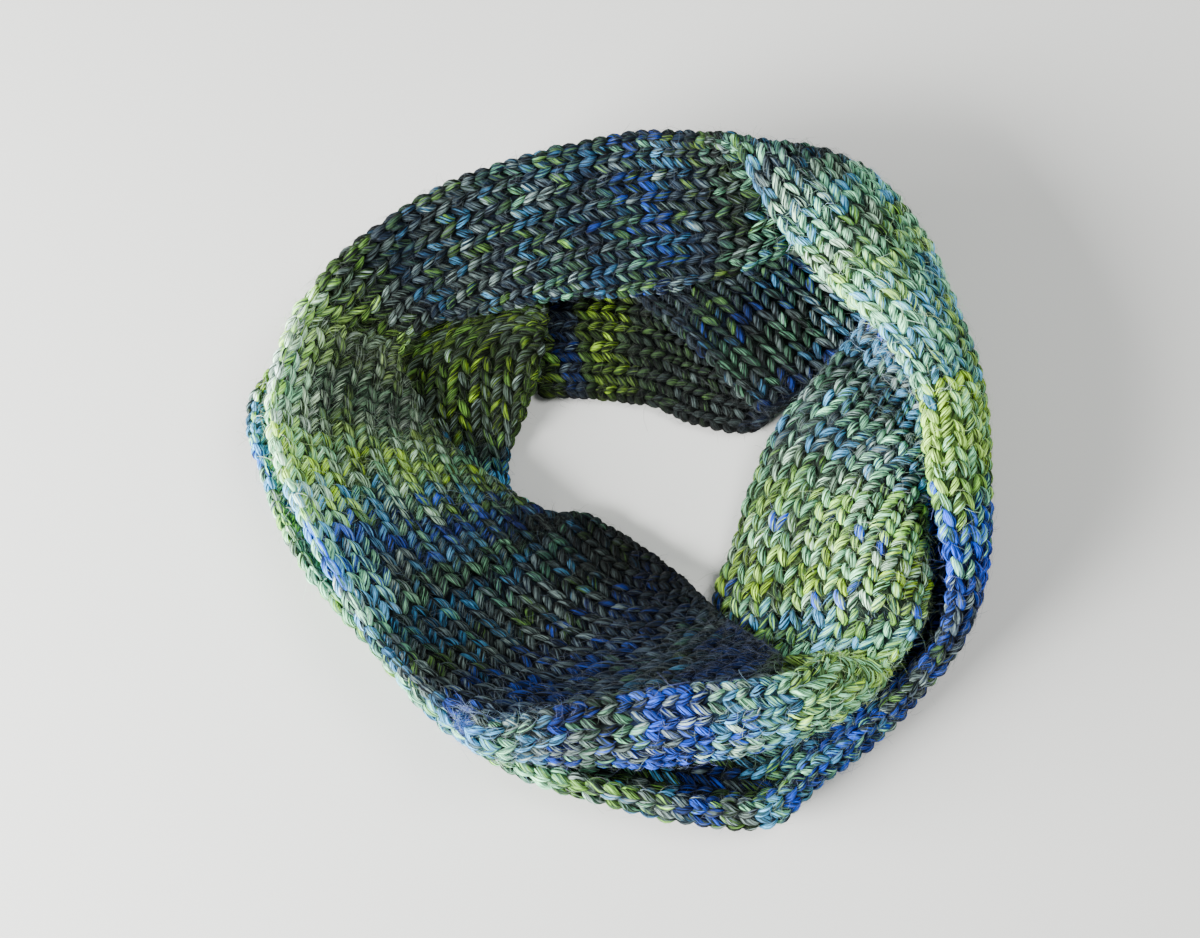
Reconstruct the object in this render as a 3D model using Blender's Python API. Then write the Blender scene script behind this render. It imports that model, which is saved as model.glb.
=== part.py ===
"""Infinity scarf: one long loop of flattened knitted tube, laid down on a table in a doubled ring.

The tube is pressed flat into a band of two layers. The band goes round the ring twice: a lower wrap
lies on the table, climbs on the right-hand side, and goes on as an upper wrap that leans outwards on
top of it. The inner end of the upper wrap turns into a wide inner band on the right, and a small
pleat at the back takes that band into the lower wrap again.

Sizes are in millimetres and are turned into metres when a mesh is made. The origin is on the table
under the middle of the ring's box, +X is to the right, +Y is to the back and +Z is up. The tables
are measured from the middle of the hole, and MIDDLE brings them to the origin.
"""

import math
from collections import namedtuple

import bpy
from mathutils import Vector

MM = 0.001                  # metres in a millimetre

# ---- driving dimensions, millimetres ----
LAYER = 4.0                 # one layer of the knitted cloth
BAND = 2 * LAYER            # the flattened tube, two layers thick
SEAM = 0.3                  # running gap between stretches that meet end to end
MIDDLE = Vector((-3.22, -2.38, 0.0))  # the middle of the ring's footprint, in the tables' measure

# ---- how finely the cloth is divided ----
RINGS_A_STATION = 2         # sections made between two stations
POINTS_INSIDE = 5           # points across the cloth between its two rounded rims
RIM_TURNS = (0, 45, 90)     # degrees round a rounded rim at which it has points
FINE_STEPS = 40             # steps used to measure along a section

# A rim is one edge of the band at a station: its place, and the way the cloth leaves it, as a
# distance outwards from the middle of the hole and a distance upwards.
Rim = namedtuple("Rim", "x y z out up")

# A station is one section across the band, from its low or inner rim to its high or outer rim.
Station = namedtuple("Station", "low high")


def station(low, high):
    """A station from its ten numbers: x, y, z, out and up of the low rim and of the high rim."""
    return Station(Rim(*low), Rim(*high))


# The long run of the band, anticlockwise: lower wrap from the left, climb on the right, upper wrap.
# Each row is low rim (x, y, z, out, up), high rim (x, y, z, out, up).
SPIRAL = [
    # lower wrap, left
    station((-30, 80, 13, 28, 3), (-100, 76, 10, -16, -6)),
    station((-32, 53, 13, 28, 3), (-142, 41, 26, -10, -34)),
    station((-38, 30, 12, 28, -6), (-149, 18, 30, -12, -34)),
    station((-46, 10, 4, 30, -4), (-143, 0, 30, -8, -34)),
    station((-44, -12, 4, 30, -4), (-134, -22, 29, -4, -34)),
    station((-41, -29, 4, 30, -4), (-120, -44, 28, 0, -34)),
    # lower wrap, front
    station((-36, -42, 4, 30, -4), (-98, -67, 27, 4, -32)),
    station((-28, -54, 4, 30, -4), (-70, -95, 26, 12, -32)),
    station((-12, -62, 4, 30, -4), (-38, -115, 26, 14, -30)),
    station((4, -67, 4, 30, -4), (-6, -124, 26, 18, -28)),
    station((22, -74, 4, 30, -4), (26, -129, 26, 24, -26)),
    station((42, -82, 4, 28, -4), (51, -129, 26, 26, -24)),
    station((64, -80, 4, 22, -4), (69, -116, 26, 20, -22)),
    station((83, -68, 4, 24, -4), (89, -102, 27, 18, -20)),
    # climb on the right
    station((95, -50, 4, 28, -4), (105, -87, 29, 18, -16)),
    station((101, -30, 4, 36, -4), (118, -69, 41, 20, -10)),
    station((103, -8, 4, 44, -4), (118, -48, 54, 28, 0)),
    station((105, 16, 4, 50, -4), (112, -14, 60, 36, 8)),
    station((106, 42, 4, 50, -4), (110, 17, 61, 38, 8)),
    station((108, 66, 4, 44, -2), (97, 42, 62, 43, 10)),
    station((108, 86, 4, 36, 0), (80, 60, 62, 52, 12)),
    station((96, 105, 8, 32, 2), (65, 80, 61, 56, 14)),
    station((80, 105, 17, 34, 6), (54, 102, 59, 40, 10)),
    # upper wrap, back
    station((62, 92, 22, 32, 4), (44, 126, 57, 14, -6)),
    station((33, 81, 21, 28, 4), (27, 132, 56, 0, -18)),
    station((6, 75, 22, 28, 4), (3, 132, 56, -2, -18)),
    station((-26, 73, 22, 28, 4), (-38, 123, 55, -4, -18)),
    station((-55, 67, 22, 26, 4), (-75, 108, 54, -4, -18)),
    station((-80, 62, 20, 22, 4), (-108, 84, 52, -4, -18)),
    # upper wrap, left
    station((-91, 50, 17, 20, 4), (-126, 61, 50, -4, -18)),
    station((-85, 35, 15, 22, 4), (-134, 41, 50, -4, -18)),
    station((-73, 17, 13, 28, 4), (-137, 19, 50, -4, -18)),
    station((-56, 2, 13, 34, 4), (-133, -3, 50, -4, -18)),
    station((-38, -10, 11, 38, 6), (-122, -27, 50, -4, -18)),
    station((-26, -14, 7, 40, 10), (-107, -53, 50, -4, -18)),
    # upper wrap, front
    station((-11, -14, 4, 40, 10), (-90, -78, 50, -6, -18)),
    station((7, -27, 4, 38, 10), (-65, -99, 50, -8, -16)),
    station((23, -41, 6, 34, 12), (-32, -105, 49, -10, -12)),
    station((36, -56, 12.6, 22, 9), (3, -101, 47, -12, -10)),
    station((46, -66, 20, 14, 8), (30, -97, 45, -10, -8)),
    station((58, -77, 28, 8, 6), (55, -91, 42, -6, -6)),
]

# The wide inner band on the right, downwards from under the climb, round the front corner and
# along the front as the roll that lies over the upper wrap.
INNER_BAND = [
    station((104, 72, 24, 8, 2), (120, 40, 33, -8, 0)),
    station((97, 60, 21, 12, 4), (120, 29, 36, -8, 0)),
    station((85, 45, 20.8, 12, 4), (119, 13, 38, -12, 3)),
    station((72, 30, 20.8, 14, 8), (118, -3, 39, -16, 7)),
    station((60, 14, 13, 16, 18), (117, -19, 39, -22, 12)),
    station((51, -9, 6, 14, 25), (116, -36, 39, -27, 18)),
    station((45, -29, 4, 14, 28), (116, -51, 39, -29, 21)),
    station((37, -46, 4, 20, 12), (113, -64, 40, -30, 22)),
    station((37, -62, 4, 18, 6), (108, -74, 40, -14, 8)),
    station((54, -72, 8, 14, 12), (102, -80, 34, -4, 10)),
    station((72, -79, 36, 8, 14), (93, -85, 22, 8, 18)),
    station((59, -88, 56, 8, 9), (72, -93, 14, 22, 17)),
    station((41, -91, 59, 8, 6), (44, -99, 13, 28, 14)),
    station((19, -93, 60, 8, 6), (19, -103, 13, 28, 12)),
    station((-9, -97, 60, 8, 6), (-10, -104, 13, 26, 12)),
    station((-28, -101, 60, 8, 4), (-29, -108, 25, 16, 12)),
    station((-45, -105, 59, 8, 2), (-47, -110, 38, 10, 6)),
    station((-58, -100, 58, 3, 1), (-60, -105, 49, 4, 3)),
]

# The lower wrap at the back, flat on the table and curling up under the upper wrap.
BACK_FLAT = [
    station((57, 25, 4, 10, 0), (84, 58, 4, -10, 0)),
    station((47, 22, 4, 14, 0), (74, 72, 4, -12, 0)),
    station((28, 26, 4, 24, -2), (44, 82, 4, -12, -2)),
    station((10, 33, 4, 36, -4), (15, 114, 8, -6, -20)),
    station((-9, 36, 4, 36, -4), (-11, 127, 34, 2, -40)),
    station((-22, 37, 4, 34, -4), (-30, 120, 32, 2, -40)),
    station((-32, 37, 4, 28, -2), (-33, 112, 24, 0, -30)),
]

# The pleat at the back, between the wide inner band and the flat lower wrap.
BACK_PLEAT = [
    station((2, 84, 12.5, 8, 0), (18, 96, 12.5, -8, 0)),
    station((8, 77, 12.5, 10, 0), (32, 94, 12.5, -8, 0)),
    station((18, 67, 12.5, 12, 0), (54, 98, 12.5, -10, 0)),
    station((29, 56, 12.5, 14, 0), (80, 97, 12.5, -10, 0)),
    station((49, 34, 12.5, 14, 0), (102, 75, 12.5, -10, 0)),
    station((58, 25, 12.5, 12, 0), (104, 50, 12.5, -10, 0)),
]

# Each stretch that shows: its name, its row of stations, its first and last station, its colour.
Stretch = namedtuple("Stretch", "name stations first last colour")

STRETCHES = [
    Stretch("lower_left", SPIRAL, 0, 5, (0.055, 0.085, 0.050)),
    Stretch("lower_front", SPIRAL, 5, 14, (0.070, 0.110, 0.105)),
    Stretch("right_outer", SPIRAL, 14, 22.5, (0.130, 0.190, 0.110)),
    Stretch("upper_back", SPIRAL, 22.5, 28.5, (0.045, 0.065, 0.080)),
    Stretch("upper_left", SPIRAL, 28.5, 34.5, (0.075, 0.110, 0.060)),
    Stretch("front_inner", SPIRAL, 34.5, 40, (0.030, 0.045, 0.085)),
    Stretch("right_inner", INNER_BAND, 0, 7.5, (0.120, 0.180, 0.080)),
    Stretch("front_roll", INNER_BAND, 7.5, 17, (0.060, 0.095, 0.150)),
    Stretch("back_flat", BACK_FLAT, 0, 6, (0.090, 0.120, 0.035)),
    Stretch("back_pleat", BACK_PLEAT, 0, 5, (0.030, 0.040, 0.060)),
]

WOOL_ROUGHNESS = 0.9


def clear_scene():
    for item in list(bpy.data.objects):
        bpy.data.objects.remove(item, do_unlink=True)


def between(rows, place):
    """The numbers at a fractional place in rows, on one smooth curve through all the rows."""
    index = min(int(place), len(rows) - 2)
    part = place - index
    before = rows[max(index - 1, 0)]
    start = rows[index]
    end = rows[index + 1]
    after = rows[min(index + 2, len(rows) - 1)]
    result = []
    for a, b, c, d in zip(before, start, end, after):
        slope_start = (c - a) / 2
        slope_end = (d - b) / 2
        result.append(
            b * (2 * part**3 - 3 * part**2 + 1)
            + slope_start * (part**3 - 2 * part**2 + part)
            + c * (3 * part**2 - 2 * part**3)
            + slope_end * (part**3 - part**2)
        )
    return result


def rim_and_handle(rim):
    """A rim's point, and the point towards which the cloth leaves it."""
    outwards = Vector((rim.x, rim.y, 0)).normalized()
    point = Vector((rim.x, rim.y, rim.z))
    return point, point + outwards * rim.out + Vector((0, 0, rim.up))


def fine_section(low, high):
    """The middle of the cloth from one rim to the other, never lower than the table lets it be."""
    start, leave = rim_and_handle(low)
    end, arrive = rim_and_handle(high)
    points = []
    for step in range(FINE_STEPS + 1):
        t = step / FINE_STEPS
        point = (
            start * (1 - t) ** 3
            + leave * 3 * t * (1 - t) ** 2
            + arrive * 3 * t**2 * (1 - t)
            + end * t**3
        )
        point.z = max(point.z, BAND / 2)
        points.append(point)
    return points


def distances_across(length):
    """How far each point of a section lies from its low rim, closer together at the round rims."""
    radius = BAND / 2
    edge = [radius * (1 - math.cos(math.radians(turn))) for turn in RIM_TURNS]
    inside = length - 2 * radius
    middle = [radius + inside * (k + 1) / (POINTS_INSIDE + 1) for k in range(POINTS_INSIDE)]
    return edge + middle + [length - d for d in reversed(edge)]


def walk(points, distances):
    """The points that lie at the given distances along a row of points."""
    result = []
    index = 0
    passed = 0.0
    for distance in distances:
        while index < len(points) - 2:
            piece = (points[index + 1] - points[index]).length
            if passed + piece >= distance:
                break
            passed += piece
            index += 1
        piece = (points[index + 1] - points[index]).length
        share = (distance - passed) / piece if piece else 0.0
        result.append(points[index].lerp(points[index + 1], min(max(share, 0.0), 1.0)))
    return result


def half_thickness(distance, length):
    """Half of the band's thickness, which rounds off to nothing at both rims."""
    radius = BAND / 2
    inset = min(distance, length - distance, radius)
    return math.sqrt(max(radius**2 - (radius - inset) ** 2, 0.0))


def middle_surface(stations, first, last):
    """Rows of points on the middle of the cloth, with half of the thickness at each point.

    There is one more row past each end, so that stretches that meet share the tilt of their ends.
    """
    lows = [s.low for s in stations]
    highs = [s.high for s in stations]
    rings = max(2, round((last - first) * RINGS_A_STATION))
    rows, halves = [], []
    for ring in range(-1, rings + 2):
        place = first + (last - first) * ring / rings
        place = min(max(place, 0), len(stations) - 1)
        fine = fine_section(Rim(*between(lows, place)), Rim(*between(highs, place)))
        length = sum((b - a).length for a, b in zip(fine, fine[1:]))
        distances = distances_across(length)
        rows.append(walk(fine, distances))
        halves.append([half_thickness(d, length) for d in distances])
    return rows, halves


def normal_at(rows, row, column):
    """The direction square to the cloth, towards its upper face."""
    along = rows[row + 1][column] - rows[row - 1][column]
    last = len(rows[row]) - 1
    across = rows[row][min(column + 1, last)] - rows[row][max(column - 1, 0)]
    return across.cross(along).normalized()


def faces_of_cloth(rows, halves, gap):
    """The points of the upper and the lower face, with both ends drawn in by half of a gap."""
    upper_rows, lower_rows = [], []
    for row in range(1, len(rows) - 1):
        upper, lower = [], []
        for column, point in enumerate(rows[row]):
            offset = normal_at(rows, row, column) * halves[row][column]
            upper.append(point + offset)
            lower.append(point - offset)
        upper_rows.append(upper)
        lower_rows.append(lower)
    for face in (upper_rows, lower_rows):
        for end, row, inside in ((0, 1, 2), (-1, -2, -3)):
            for k, point in enumerate(face[end]):
                outwards = (rows[row][k] - rows[inside][k]).normalized()
                face[end][k] = point - outwards * gap / 2
    return upper_rows, lower_rows


def band_mesh(name, upper_rows, lower_rows):
    """A closed solid: the upper and lower faces of the band, joined at the rims and the ends."""
    vertices = []
    loops = []
    last = len(upper_rows[0]) - 1
    for upper_points, lower_points in zip(upper_rows, lower_rows):
        upper, lower = [], []
        for column, (top, bottom) in enumerate(zip(upper_points, lower_points)):
            upper.append(len(vertices))
            vertices.append((top - MIDDLE) * MM)
            if column in (0, last):
                lower.append(upper[-1])
            else:
                lower.append(len(vertices))
                vertices.append((bottom - MIDDLE) * MM)
        loops.append((upper, lower))
    faces = []
    for (upper, lower), (next_upper, next_lower) in zip(loops, loops[1:]):
        for k in range(last):
            faces.append((upper[k + 1], next_upper[k + 1], next_upper[k], upper[k]))
            faces.append((lower[k], next_lower[k], next_lower[k + 1], lower[k + 1]))
    for (upper, lower), turned in ((loops[0], True), (loops[-1], False)):
        for k in range(last):
            first_half = (upper[k], upper[k + 1], lower[k + 1])
            second_half = (upper[k], lower[k + 1], lower[k])
            for face in (first_half, second_half):
                if len(set(face)) == 3:
                    faces.append(tuple(reversed(face)) if turned else face)
    mesh = bpy.data.meshes.new(name)
    mesh.from_pydata(vertices, [], faces)
    mesh.update()
    return mesh


def wool(name, colour):
    material = bpy.data.materials.new(name)
    material.use_nodes = True
    shader = material.node_tree.nodes["Principled BSDF"]
    shader.inputs["Base Color"].default_value = (*colour, 1.0)
    shader.inputs["Roughness"].default_value = WOOL_ROUGHNESS
    shader.inputs["Metallic"].default_value = 0.0
    return material


def make_stretch(stretch):
    rows, halves = middle_surface(stretch.stations, stretch.first, stretch.last)
    mesh = band_mesh(stretch.name, *faces_of_cloth(rows, halves, SEAM))
    mesh.materials.append(wool(stretch.name + "_wool", stretch.colour))
    mesh.shade_smooth()
    part = bpy.data.objects.new(stretch.name, mesh)
    bpy.context.scene.collection.objects.link(part)
    return part


def main():
    clear_scene()
    for stretch in STRETCHES:
        make_stretch(stretch)


main()
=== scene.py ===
import math
from collections import namedtuple

import bpy
import numpy as np
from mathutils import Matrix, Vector


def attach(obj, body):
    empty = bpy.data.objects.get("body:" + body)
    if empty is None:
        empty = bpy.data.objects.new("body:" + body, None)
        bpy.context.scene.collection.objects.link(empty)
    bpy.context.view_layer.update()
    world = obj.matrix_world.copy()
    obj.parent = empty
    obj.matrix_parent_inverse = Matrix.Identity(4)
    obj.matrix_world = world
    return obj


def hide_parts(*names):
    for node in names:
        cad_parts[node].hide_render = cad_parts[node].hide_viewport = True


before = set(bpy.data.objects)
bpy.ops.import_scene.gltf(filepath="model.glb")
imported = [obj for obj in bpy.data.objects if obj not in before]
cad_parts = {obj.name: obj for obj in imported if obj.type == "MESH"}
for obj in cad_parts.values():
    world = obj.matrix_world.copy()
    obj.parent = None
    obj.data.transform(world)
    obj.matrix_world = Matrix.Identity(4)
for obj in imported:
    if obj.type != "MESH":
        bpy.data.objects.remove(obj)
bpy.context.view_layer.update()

MM = 0.001
SEED = 7

# ---- the camera, millimetres and degrees ----
IMAGE_WIDTH = 1200
FOCAL_PIXELS = 1519
SENSOR_WIDTH = 36.0
CAMERA_TARGET = (-5.8, 6.4, 10.0)
CAMERA_ELEVATION = 72.0
CAMERA_DISTANCE = 620.0
CAMERA_CLIP = (0.01, 20.0)  # metres

# ---- the cloth, millimetres ----
HALF_BAND = 4.0  # half of the flattened tube's thickness
MIDDLE = np.array((-3.22, -2.38, 0.0))  # the frame's origin, where the tables below put it
PITCH = 9.4  # width of one column of stitches
ROW = 6.0  # height of one row of stitches
SHELL_OUTER = -2.3  # the plain cloth under the stitches, below the band's outer face
SHELL_INNER = -3.7
SHELL_SIDES = 52  # points round the plain cloth
SHELL_ROWS = 4  # its rows of faces between two stations
GRID_ROWS = 8  # rows of the fine surface between two stations
GRID_MARGIN = 4  # rows of the fine surface beyond each end of a stretch
GRID_STEP = 1.6  # spacing of the fine surface's points round the tube
FINE_STEPS = 48  # steps from rim to rim across the middle of the cloth
CREASE_FADE = 6  # a crease fades out over one part in this many of the width, at each rim
ROW_SAMPLES = 10  # places a station where the cloth is measured to space its rows
CLOTH_OVER_FLOOR = 0.15
YARN_OVER_FLOOR = 0.1
FIBRE_OVER_FLOOR = 0.2
NEARLY = 1e-6  # slack where stations are compared
TINY = 1e-12  # the least number that is divided by

# ---- one leg of a stitch: half of the V that a stitch shows ----
YARN = 1.9  # radius of the yarn
CREST = -1.75  # the middle of the yarn, below the band's outer face, at a leg's crest
DIP = 2.0  # how much deeper a leg's two ends lie
LEG_POINTS = 7
LEG_SIDES = 6
LEG_FOOT = 0.045  # how far from the middle of its column a leg starts, in columns
LEG_SPREAD = 0.40  # how much further out its other end is
LEG_START = -0.20  # where along the tube it starts, in rows
LEG_SPAN = 1.46  # how many rows it passes
LEG_ARCH = 0.8  # a lower power keeps a leg high for longer
LEG_TIP = 0.26  # how thin its ends are beside its middle
LEG_TAPER = 0.65  # a lower power keeps it plump for longer
LEG_FLATNESS = 0.86  # its thickness beside its width
# How much the legs differ: place along (rows), height (mm), place across (mm) and thickness (share).
LEG_WOBBLE = (0.06, 0.22, 0.25, 0.09)
MOST_COLUMNS = 20  # more columns than the tube has on either side of the rim
SIDE_COLUMN = 0.25  # a leg lies this far from the middle of its column, in columns
CROWDED = 1.15  # rows that are together less than this many rows high are drawn as one
CROWDED_ROWS = (2, 4, 8)
ALONG_LEG = np.linspace(0, 1, LEG_POINTS)[None, :]  # where the rings of points are along a leg
ROUND_LEG = 2 * math.pi * np.arange(LEG_SIDES) / LEG_SIDES  # the angles of a ring's points

# ---- loose fibres, millimetres ----
FIBRES = 29000
FIBRE_POINTS = 4
FIBRE_RADIUS = 0.055
FIBRE_TIP = 0.5  # how much thinner the tip is
FIBRE_ROOT = -0.6  # where fibres start, below the band's outer face
FIBRE_LENGTH = (2.0, 5.5)
LONG_FIBRE = 3.5  # how much longer some of them are
LONG_FIBRE_SHARE = 0.12
FIBRE_LIFT = (0.15, 0.75)  # how steeply they stand up
FIBRE_DROOP = 0.45
FIBRE_BEND = 0.6
FIBRE_STRAY = 0.25  # how far the choice of those that face up is left to chance
STEP_AHEAD = 0.02  # a little further along the band, in stations

# Each station across the band: its low rim and its high rim. A rim has its place (x, y, z), and how
# far outwards and up from there the cloth heads towards the other rim.
SPIRAL_STATIONS = [
    # lower wrap, left
    ((-30, 80, 13, 28, 3), (-100, 76, 10, -16, -6)),
    ((-32, 53, 13, 28, 3), (-142, 41, 26, -10, -34)),
    ((-38, 30, 12, 28, -6), (-149, 18, 30, -12, -34)),
    ((-46, 10, 4, 30, -4), (-143, 0, 30, -8, -34)),
    ((-44, -12, 4, 30, -4), (-134, -22, 29, -4, -34)),
    ((-41, -29, 4, 30, -4), (-120, -44, 28, 0, -34)),
    # lower wrap, front
    ((-36, -42, 4, 30, -4), (-98, -67, 27, 4, -32)),
    ((-28, -54, 4, 30, -4), (-70, -95, 26, 12, -32)),
    ((-12, -62, 4, 30, -4), (-38, -115, 26, 14, -30)),
    ((4, -67, 4, 30, -4), (-6, -124, 26, 18, -28)),
    ((22, -74, 4, 30, -4), (26, -129, 26, 24, -26)),
    ((42, -82, 4, 28, -4), (51, -129, 26, 26, -24)),
    ((64, -80, 4, 22, -4), (69, -116, 26, 20, -22)),
    ((83, -68, 4, 24, -4), (89, -102, 27, 18, -20)),
    # climb on the right
    ((95, -50, 4, 28, -4), (105, -87, 29, 18, -16)),
    ((101, -30, 4, 36, -4), (118, -69, 41, 20, -10)),
    ((103, -8, 4, 44, -4), (118, -48, 54, 28, 0)),
    ((105, 16, 4, 50, -4), (112, -14, 60, 36, 8)),
    ((106, 42, 4, 50, -4), (110, 17, 61, 38, 8)),
    ((108, 66, 4, 44, -2), (97, 42, 62, 43, 10)),
    ((108, 86, 4, 36, 0), (80, 60, 62, 52, 12)),
    ((96, 105, 8, 32, 2), (65, 80, 61, 56, 14)),
    ((80, 105, 17, 34, 6), (54, 102, 59, 40, 10)),
    # upper wrap, back
    ((62, 92, 22, 32, 4), (44, 126, 57, 14, -6)),
    ((33, 81, 21, 28, 4), (27, 132, 56, 0, -18)),
    ((6, 75, 22, 28, 4), (3, 132, 56, -2, -18)),
    ((-26, 73, 22, 28, 4), (-38, 123, 55, -4, -18)),
    ((-55, 67, 22, 26, 4), (-75, 108, 54, -4, -18)),
    ((-80, 62, 20, 22, 4), (-108, 84, 52, -4, -18)),
    # upper wrap, left
    ((-91, 50, 17, 20, 4), (-126, 61, 50, -4, -18)),
    ((-85, 35, 15, 22, 4), (-134, 41, 50, -4, -18)),
    ((-73, 17, 13, 28, 4), (-137, 19, 50, -4, -18)),
    ((-56, 2, 13, 34, 4), (-133, -3, 50, -4, -18)),
    ((-38, -10, 11, 38, 6), (-122, -27, 50, -4, -18)),
    ((-26, -14, 7, 40, 10), (-107, -53, 50, -4, -18)),
    # upper wrap, front
    ((-11, -14, 4, 40, 10), (-90, -78, 50, -6, -18)),
    ((7, -27, 4, 38, 10), (-65, -99, 50, -8, -16)),
    ((23, -41, 6, 34, 12), (-32, -105, 49, -10, -12)),
    ((36, -56, 12.6, 22, 9), (3, -101, 47, -12, -10)),
    ((46, -66, 20, 14, 8), (30, -97, 45, -10, -8)),
    ((58, -77, 28, 8, 6), (55, -91, 42, -6, -6)),
]
INNER_STATIONS = [
    ((104, 72, 24, 8, 2), (120, 40, 33, -8, 0)),
    ((97, 60, 21, 12, 4), (120, 29, 36, -8, 0)),
    ((85, 45, 20.8, 12, 4), (119, 13, 38, -12, 3)),
    ((72, 30, 20.8, 14, 8), (118, -3, 39, -16, 7)),
    ((60, 14, 13, 16, 18), (117, -19, 39, -22, 12)),
    ((51, -9, 6, 14, 25), (116, -36, 39, -27, 18)),
    ((45, -29, 4, 14, 28), (116, -51, 39, -29, 21)),
    ((37, -46, 4, 20, 12), (113, -64, 40, -30, 22)),
    ((37, -62, 4, 18, 6), (108, -74, 40, -14, 8)),
    ((54, -72, 8, 14, 12), (102, -80, 34, -4, 10)),
    ((72, -79, 36, 8, 14), (93, -85, 22, 8, 18)),
    ((59, -88, 56, 8, 9), (72, -93, 14, 22, 17)),
    ((41, -91, 59, 8, 6), (44, -99, 13, 28, 14)),
    ((19, -93, 60, 8, 6), (19, -103, 13, 28, 12)),
    ((-9, -97, 60, 8, 6), (-10, -104, 13, 26, 12)),
    ((-28, -101, 60, 8, 4), (-29, -108, 25, 16, 12)),
    ((-45, -105, 59, 8, 2), (-47, -110, 38, 10, 6)),
    ((-58, -100, 58, 3, 1), (-60, -105, 49, 4, 3)),
]
FLAT_STATIONS = [
    ((57, 25, 4, 10, 0), (84, 58, 4, -10, 0)),
    ((47, 22, 4, 14, 0), (74, 72, 4, -12, 0)),
    ((28, 26, 4, 24, -2), (44, 82, 4, -12, -2)),
    ((10, 33, 4, 36, -4), (15, 114, 8, -6, -20)),
    ((-9, 36, 4, 36, -4), (-11, 127, 34, 2, -40)),
    ((-22, 37, 4, 34, -4), (-30, 120, 32, 2, -40)),
    ((-32, 37, 4, 28, -2), (-33, 112, 24, 0, -30)),
]
PLEAT_STATIONS = [
    ((2, 84, 12.5, 8, 0), (18, 96, 12.5, -8, 0)),
    ((8, 77, 12.5, 10, 0), (32, 94, 12.5, -8, 0)),
    ((18, 67, 12.5, 12, 0), (54, 98, 12.5, -10, 0)),
    ((29, 56, 12.5, 14, 0), (80, 97, 12.5, -10, 0)),
    ((49, 34, 12.5, 14, 0), (102, 75, 12.5, -10, 0)),
    ((58, 25, 12.5, 12, 0), (104, 50, 12.5, -10, 0)),
]

# How many columns the inner band is turned round its length, at each station of the corner.
CORNER_TURN = ((7.5, -4.0), (8.0, -3.26), (8.5, -2.09), (9.0, -0.60), (9.3, 0.0))

# Soft creases along the cloth: from and to (station, share of the width), height, half width. A
# height under zero is a trough.
CREASES = {
    "upper_left": [
        ((28.7, 0.05), (29.3, 0.95), -2.6, 7.0),
        ((32.0, 0.35), (34.6, 0.52), 2.2, 9.0),
        ((30.2, 0.70), (32.5, 0.75), -1.6, 9.0),
    ],
    "upper_back": [((24.0, 0.75), (27.0, 0.70), 1.8, 8.0), ((28.0, 0.10), (28.6, 0.95), 2.0, 8.0)],
    "front_inner": [((34.5, 0.62), (36.5, 0.70), -2.0, 9.0), ((35.5, 0.30), (38.0, 0.35), 1.8, 9.0)],
    "right_inner": [((3.5, 0.62), (7.4, 0.42), 2.2, 8.0), ((4.0, 0.85), (7.4, 0.78), -1.8, 8.0)],
    "right_outer": [((15.5, 0.50), (19.0, 0.45), 1.6, 12.0), ((18.0, 0.25), (21.0, 0.40), -1.8, 12.0)],
    "back_flat": [((2.5, 0.15), (5.0, 0.35), 1.4, 9.0)],
    "lower_left": [((1.0, 0.30), (3.5, 0.25), 1.5, 9.0)],
    "lower_front": [((6.0, 0.60), (9.5, 0.70), -1.6, 8.0)],
}

# ---- yarn colours ----
# The yarn is spun from dark wool with streaks of brighter wool in it.
DARK_WOOL = {
    "black": (0.008, 0.011, 0.012),
    "ink": (0.004, 0.010, 0.030),
    "moss": (0.012, 0.024, 0.007),
    "slate": (0.032, 0.055, 0.060),
}
BRIGHT_WOOL = {
    "L": (0.38, 0.66, 0.02),  # lime
    "G": (0.16, 0.36, 0.05),  # leaf green
    "P": (0.22, 0.60, 0.34),  # pale teal
    "S": (0.09, 0.39, 0.74),  # sky blue
    "B": (0.008, 0.07, 0.66),  # royal blue
    "T": (0.27, 0.36, 0.34),  # stone grey
    "Y": (0.45, 0.80, 0.13),  # pale lime
    "M": (0.30, 0.80, 0.46),  # pale mint
    "W": (0.46, 0.72, 0.52),  # pale sage
}
BRIGHTEST = 0.88  # no wool is brighter than this
STRIPE_BLUR = 0.20  # how far the stripes of the yarn run into each other
RUN_LENGTHS = (2.2, 1.5)  # for how many legs each kind of fleck stays the same bright wool
RUNS_A_ROW = 80  # more runs than a row of legs has
OWN_BRIGHT = 0.4  # how far the yarn's own colour follows one bright wool, not the stripe's mean
# From how much bright wool there is to its share in the colour: gain and power, and for flecks also
# what a stretch's contrast adds to the gain.
OWN_GAIN, OWN_CURVE = 0.9, 1.2
FLECK_GAIN, FLECK_CONTRAST, FLECK_CURVE = 0.9, 1.3, 0.7
SECOND_GAIN = 1.50  # the second kind of fleck lies on top of the yarn and is paler
TONE_SPREAD = 0.16  # how much lighter or darker whole legs are
# The bright wool swells somewhere along each leg: its least, what the swell adds, how short it is.
SWELL_LEAST, SWELL_GAIN, SWELL_SHARP = 0.65, 0.8, 2.2
# Painted shade: the ends and the lower side of a leg lie deep between its neighbours, painted dark.
END_SHADE, END_CURVE = 0.16, 0.8
ENDS = (0.02, 0.98)
UNDER_SHADE, UNDER_CURVE = 0.06, 1.8
# Painted shade of the plain cloth deep under the stitches: its share of bright wool, and how dark each
# layer is.
SHELL_SHADED_BRIGHT = 0.4
SHELL_SHADES = (("yarn", 0.25), ("fleck", 0.4), ("second_fleck", 0.3))
# Loose fibres: their least share of bright wool, how far their colours are greyed, how much paler
# they are, and the most that the painted light of a rim makes them paler.
FIBRE_BRIGHT, FIBRE_GREY, FIBRE_PALE, FIBRE_MOST_PAINTED_LIGHT = 0.05, 0.5, 0.014, 1.3

# The stripes of the yarn, each with its station, dark wool, the bright wools that its legs take turns
# with, and how much bright wool there is.
Stripe = namedtuple("Stripe", "place dark brights amount")


def stripe_table(*rows):
    return [Stripe(*row) for row in rows]


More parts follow.
